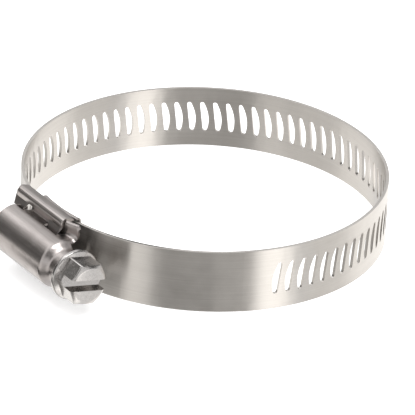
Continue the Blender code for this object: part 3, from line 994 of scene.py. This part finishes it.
def make_thread(bm):
    start = THREAD_MIDDLE - THREAD_TURNS * PITCH / MM / 2.0
    root = WORM_ROOT - THREAD_SUNK
    section = [
        (root, -THREAD_HALF_ROOT), (WORM_CREST, -THREAD_HALF_CREST), (WORM_CREST, THREAD_HALF_CREST),
        (root, THREAD_HALF_ROOT),
    ]
    other = bmesh.new()
    corners = [other.verts.new((radius * MM, 0.0, (start + along) * MM)) for radius, along in section]
    face = other.faces.new(corners)
    steps = round(THREAD_STEPS * THREAD_TURNS)
    bmesh.ops.spin(
        other,
        geom=[face, *face.edges, *corners],
        cent=(0.0, 0.0, 0.0),
        axis=(0.0, 0.0, 1.0),
        dvec=(0.0, 0.0, PITCH / THREAD_STEPS),
        angle=2.0 * math.pi * THREAD_TURNS,
        steps=steps,
    )
    bmesh.ops.recalc_face_normals(other, faces=other.faces)
    take(bm, other)


def make_screw():
    bm = spun(SHANK, False)
    make_thread(bm)
    depth = DRIVER_DEPTH + DRIVER_ABOVE
    middle = Matrix.Translation((0.0, 0.0, (HEAD_END + DRIVER_ABOVE - depth / 2.0) * MM))
    lean = Matrix.Identity(4)
    lean[2][1] = DRIVER_FLOOR_LEAN
    size = Matrix.Diagonal((DRIVER_REACH * MM, DRIVER_WIDTH * MM, depth * MM, 1.0))
    fit = Matrix.Rotation(HEX_CORNER_ANGLE, 4, "Z") @ middle @ lean @ size
    take(bm, cut_by_box(make_head(), fit))
    bm.transform(TURNED)
    return add_piece("worm_screw", as_mesh(bm, "screw"), SCREW_STEEL)


screw = make_screw()
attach(screw, "screw")
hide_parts("screw")
print("screw faces", len(screw.data.polygons))

# %% [markdown]
# Bare steel has no colour of its own to speak of: it shows the room. The clamp stands on a pale floor in a
# white room, under two soft lamps at a plain level. The floor glows a little where it is seen, but lights
# nothing by it, so that it reads as white and still takes the clamp's shadow. Reflections don't see the
# floor, so that cards round and below the table can shape them.

# %% The floor and the room
FLOOR_HALF = 1.5
FLOOR_COLOUR = (0.93, 0.93, 0.93, 1.0)
FLOOR_GLOW = (0.5, 0.5, 0.5, 1.0)
NO_GLOW = (0.0, 0.0, 0.0, 1.0)
ROOM_LIGHT, ROOM_SEEN = 0.95, 1.0


def seen_directly(graph):
    """One for rays from the camera and those that metal or glass sends on, and nought for the rest."""
    kinds = ("Is Camera Ray", "Is Glossy Ray", "Is Transmission Ray")
    camera_ray, glossy_ray, through_ray = [graph.node("ShaderNodeLightPath", {}, {}, kind) for kind in kinds]
    return graph.node("ShaderNodeClamp", {}, {"Value": camera_ray + glossy_ray + through_ray})


def stage_object(name, data):
    obj = bpy.data.objects.new(name, data)
    scene.collection.objects.link(obj)
    return obj


def floor_paper():
    finish = Finish("floor_paper")
    glow = finish.node(
        "ShaderNodeMix",
        {"data_type": "RGBA"},
        {"Factor": seen_directly(finish), 6: NO_GLOW, 7: FLOOR_GLOW},
        2,
    )
    finish.surface(base_color=FLOOR_COLOUR, roughness=1.0, emission_color=glow, emission_strength=1.0)
    return finish.material


def make_floor():
    bm = bmesh.new()
    bmesh.ops.create_grid(bm, x_segments=1, y_segments=1, size=FLOOR_HALF)
    mesh = as_mesh(bm, "floor")
    mesh.materials.append(floor_paper())
    sheet = stage_object("floor", mesh)
    sheet.visible_glossy = False
    return sheet


def make_room():
    world = bpy.data.worlds.new("room")
    scene.world = world
    world.use_nodes = True
    room = Graph(world.node_tree)
    background = room.tree.nodes["Background"]
    level = ROOM_LIGHT + seen_directly(room) * (ROOM_SEEN - ROOM_LIGHT)
    room.set(background.inputs["Color"], (1.0, 1.0, 1.0, 1.0))
    room.set(background.inputs["Strength"], level)


floor = make_floor()
make_room()
print("floor, m", 2.0 * FLOOR_HALF)

# %% [markdown]
# The cards stand on circles round the clamp, as a photographer's cards do, and only reflections see them. The
# band's sides are upright and the camera looks down, so they mirror what is below the table: a grey card for
# the front of the band, bright ones beside it. Two near rings darken the front without touching the far side.
# The barrel and the head face upwards and mirror the cards above.

# %% The cards
FAR, MIDWAY, NEAR, BY_HEAD = 0.5, 0.45, 0.062, 0.0197
BELOW = (-1.0, -0.004)
JUST_BELOW = (-0.0155, -0.001)
CARD_TINT = (1.0, 0.985, 0.96)
CARD_STEP = 4.0
CARDS_BELOW = {
    "left_side": (125.0, 172.0, 1.45),
    "left_below": (172.0, 217.0, 1.05),
    "left_front": (217.0, 236.0, 1.25),
    "grey_front": (238.0, 302.0, 0.55),
    "bright_front": (304.0, 326.0, 2.2),
    "pale_front": (338.0, 372.0, 1.15),
    "bright_right": (372.0, 450.0, 1.6),
}
CARDS_JUST_BELOW = {
    "near_dark": (198.0, 222.0, 0.045),
    "near_dim": (222.0, 234.0, 0.22),
    "near_front": (249.0, 276.0, 0.32),
}


def card_glow(name, brightness):
    finish = Finish(name)
    colour = (*(brightness * part for part in CARD_TINT), 1.0)
    glow = finish.node("ShaderNodeEmission", {}, {"Color": colour})
    finish.set(finish.tree.nodes["Material Output"].inputs["Surface"], glow)
    return finish.material


def ring_card(name, start, end, brightness, heights, radius):
    """An upright card on a circle round the clamp; angles in degrees, the camera's side being 270."""
    bm = bmesh.new()
    steps = max(2, round((end - start) / CARD_STEP))
    bmesh.ops.create_grid(bm, x_segments=steps, y_segments=1, size=0.5)
    for vert in bm.verts:
        angle = math.radians(start + (end - start) * (vert.co.x + 0.5)) + CAMERA_AZIMUTH
        height = heights[0] + (heights[1] - heights[0]) * (vert.co.y + 0.5)
        vert.co = LOOP + radius * Vector((math.cos(angle), math.sin(angle), 0.0))
        vert.co.z = height
    mesh = as_mesh(bm, name)
    mesh.materials.append(card_glow(name, brightness))
    card = stage_object(name, mesh)
    card.visible_camera = False
    card.visible_diffuse = False
    card.visible_shadow = False
    return card


cards = [ring_card(name, *values, BELOW, FAR) for name, values in CARDS_BELOW.items()]
cards += [ring_card(name, *values, JUST_BELOW, NEAR) for name, values in CARDS_JUST_BELOW.items()]
cards += [
    ring_card("flag_by_head", 177.0, 252.0, 0.08, heights=(0.013, 0.040), radius=BY_HEAD),
    ring_card("dark_left", 138.0, 205.0, 0.15, heights=(-0.075, 0.24), radius=MIDWAY),
    ring_card("dim_left", 138.0, 205.0, 0.5, heights=(0.24, 0.37), radius=MIDWAY),
    ring_card("dark_behind", 55.0, 112.0, 0.14, heights=(0.03, 0.165), radius=FAR),
    ring_card("dark_front", 235.0, 330.0, 0.12, heights=(0.2, 0.75), radius=FAR),
    ring_card("dark_front_right", 330.0, 372.0, 0.10, heights=(0.05, 0.75), radius=FAR),
]
print("cards", len(cards))

# %% [markdown]
# Two square soft boxes light the clamp, a stronger one from the front right and a weaker one from behind on
# the left. They are placed by their angles from the camera, as the cards are.


# %% The lamps
def softbox(name, azimuth, elevation, distance, width, power):
    lamp = bpy.data.lights.new(name, "AREA")
    lamp.shape = "SQUARE"
    lamp.size = width
    lamp.energy = power
    angle = math.radians(azimuth) + CAMERA_AZIMUTH
    rise = math.radians(elevation)
    level = math.cos(rise)
    away = Vector((math.cos(angle) * level, math.sin(angle) * level, math.sin(rise)))
    obj = stage_object(name, lamp)
    obj.location = LOOP + away * distance
    obj.rotation_mode = "QUATERNION"
    obj.rotation_quaternion = away.to_track_quat("Z", "Y")
    return obj


lamps = [
    softbox("key", azimuth=300.0, elevation=65.0, distance=0.9, width=0.5, power=4.0),
    softbox("fill", azimuth=150.0, elevation=50.0, distance=1.0, width=0.6, power=1.2),
]
print("lamps", [lamp.name for lamp in lamps])

# %% [markdown]
# Last, the number of finished pieces is printed.

# %% Count the finished pieces
print("pieces", len(pieces_made))
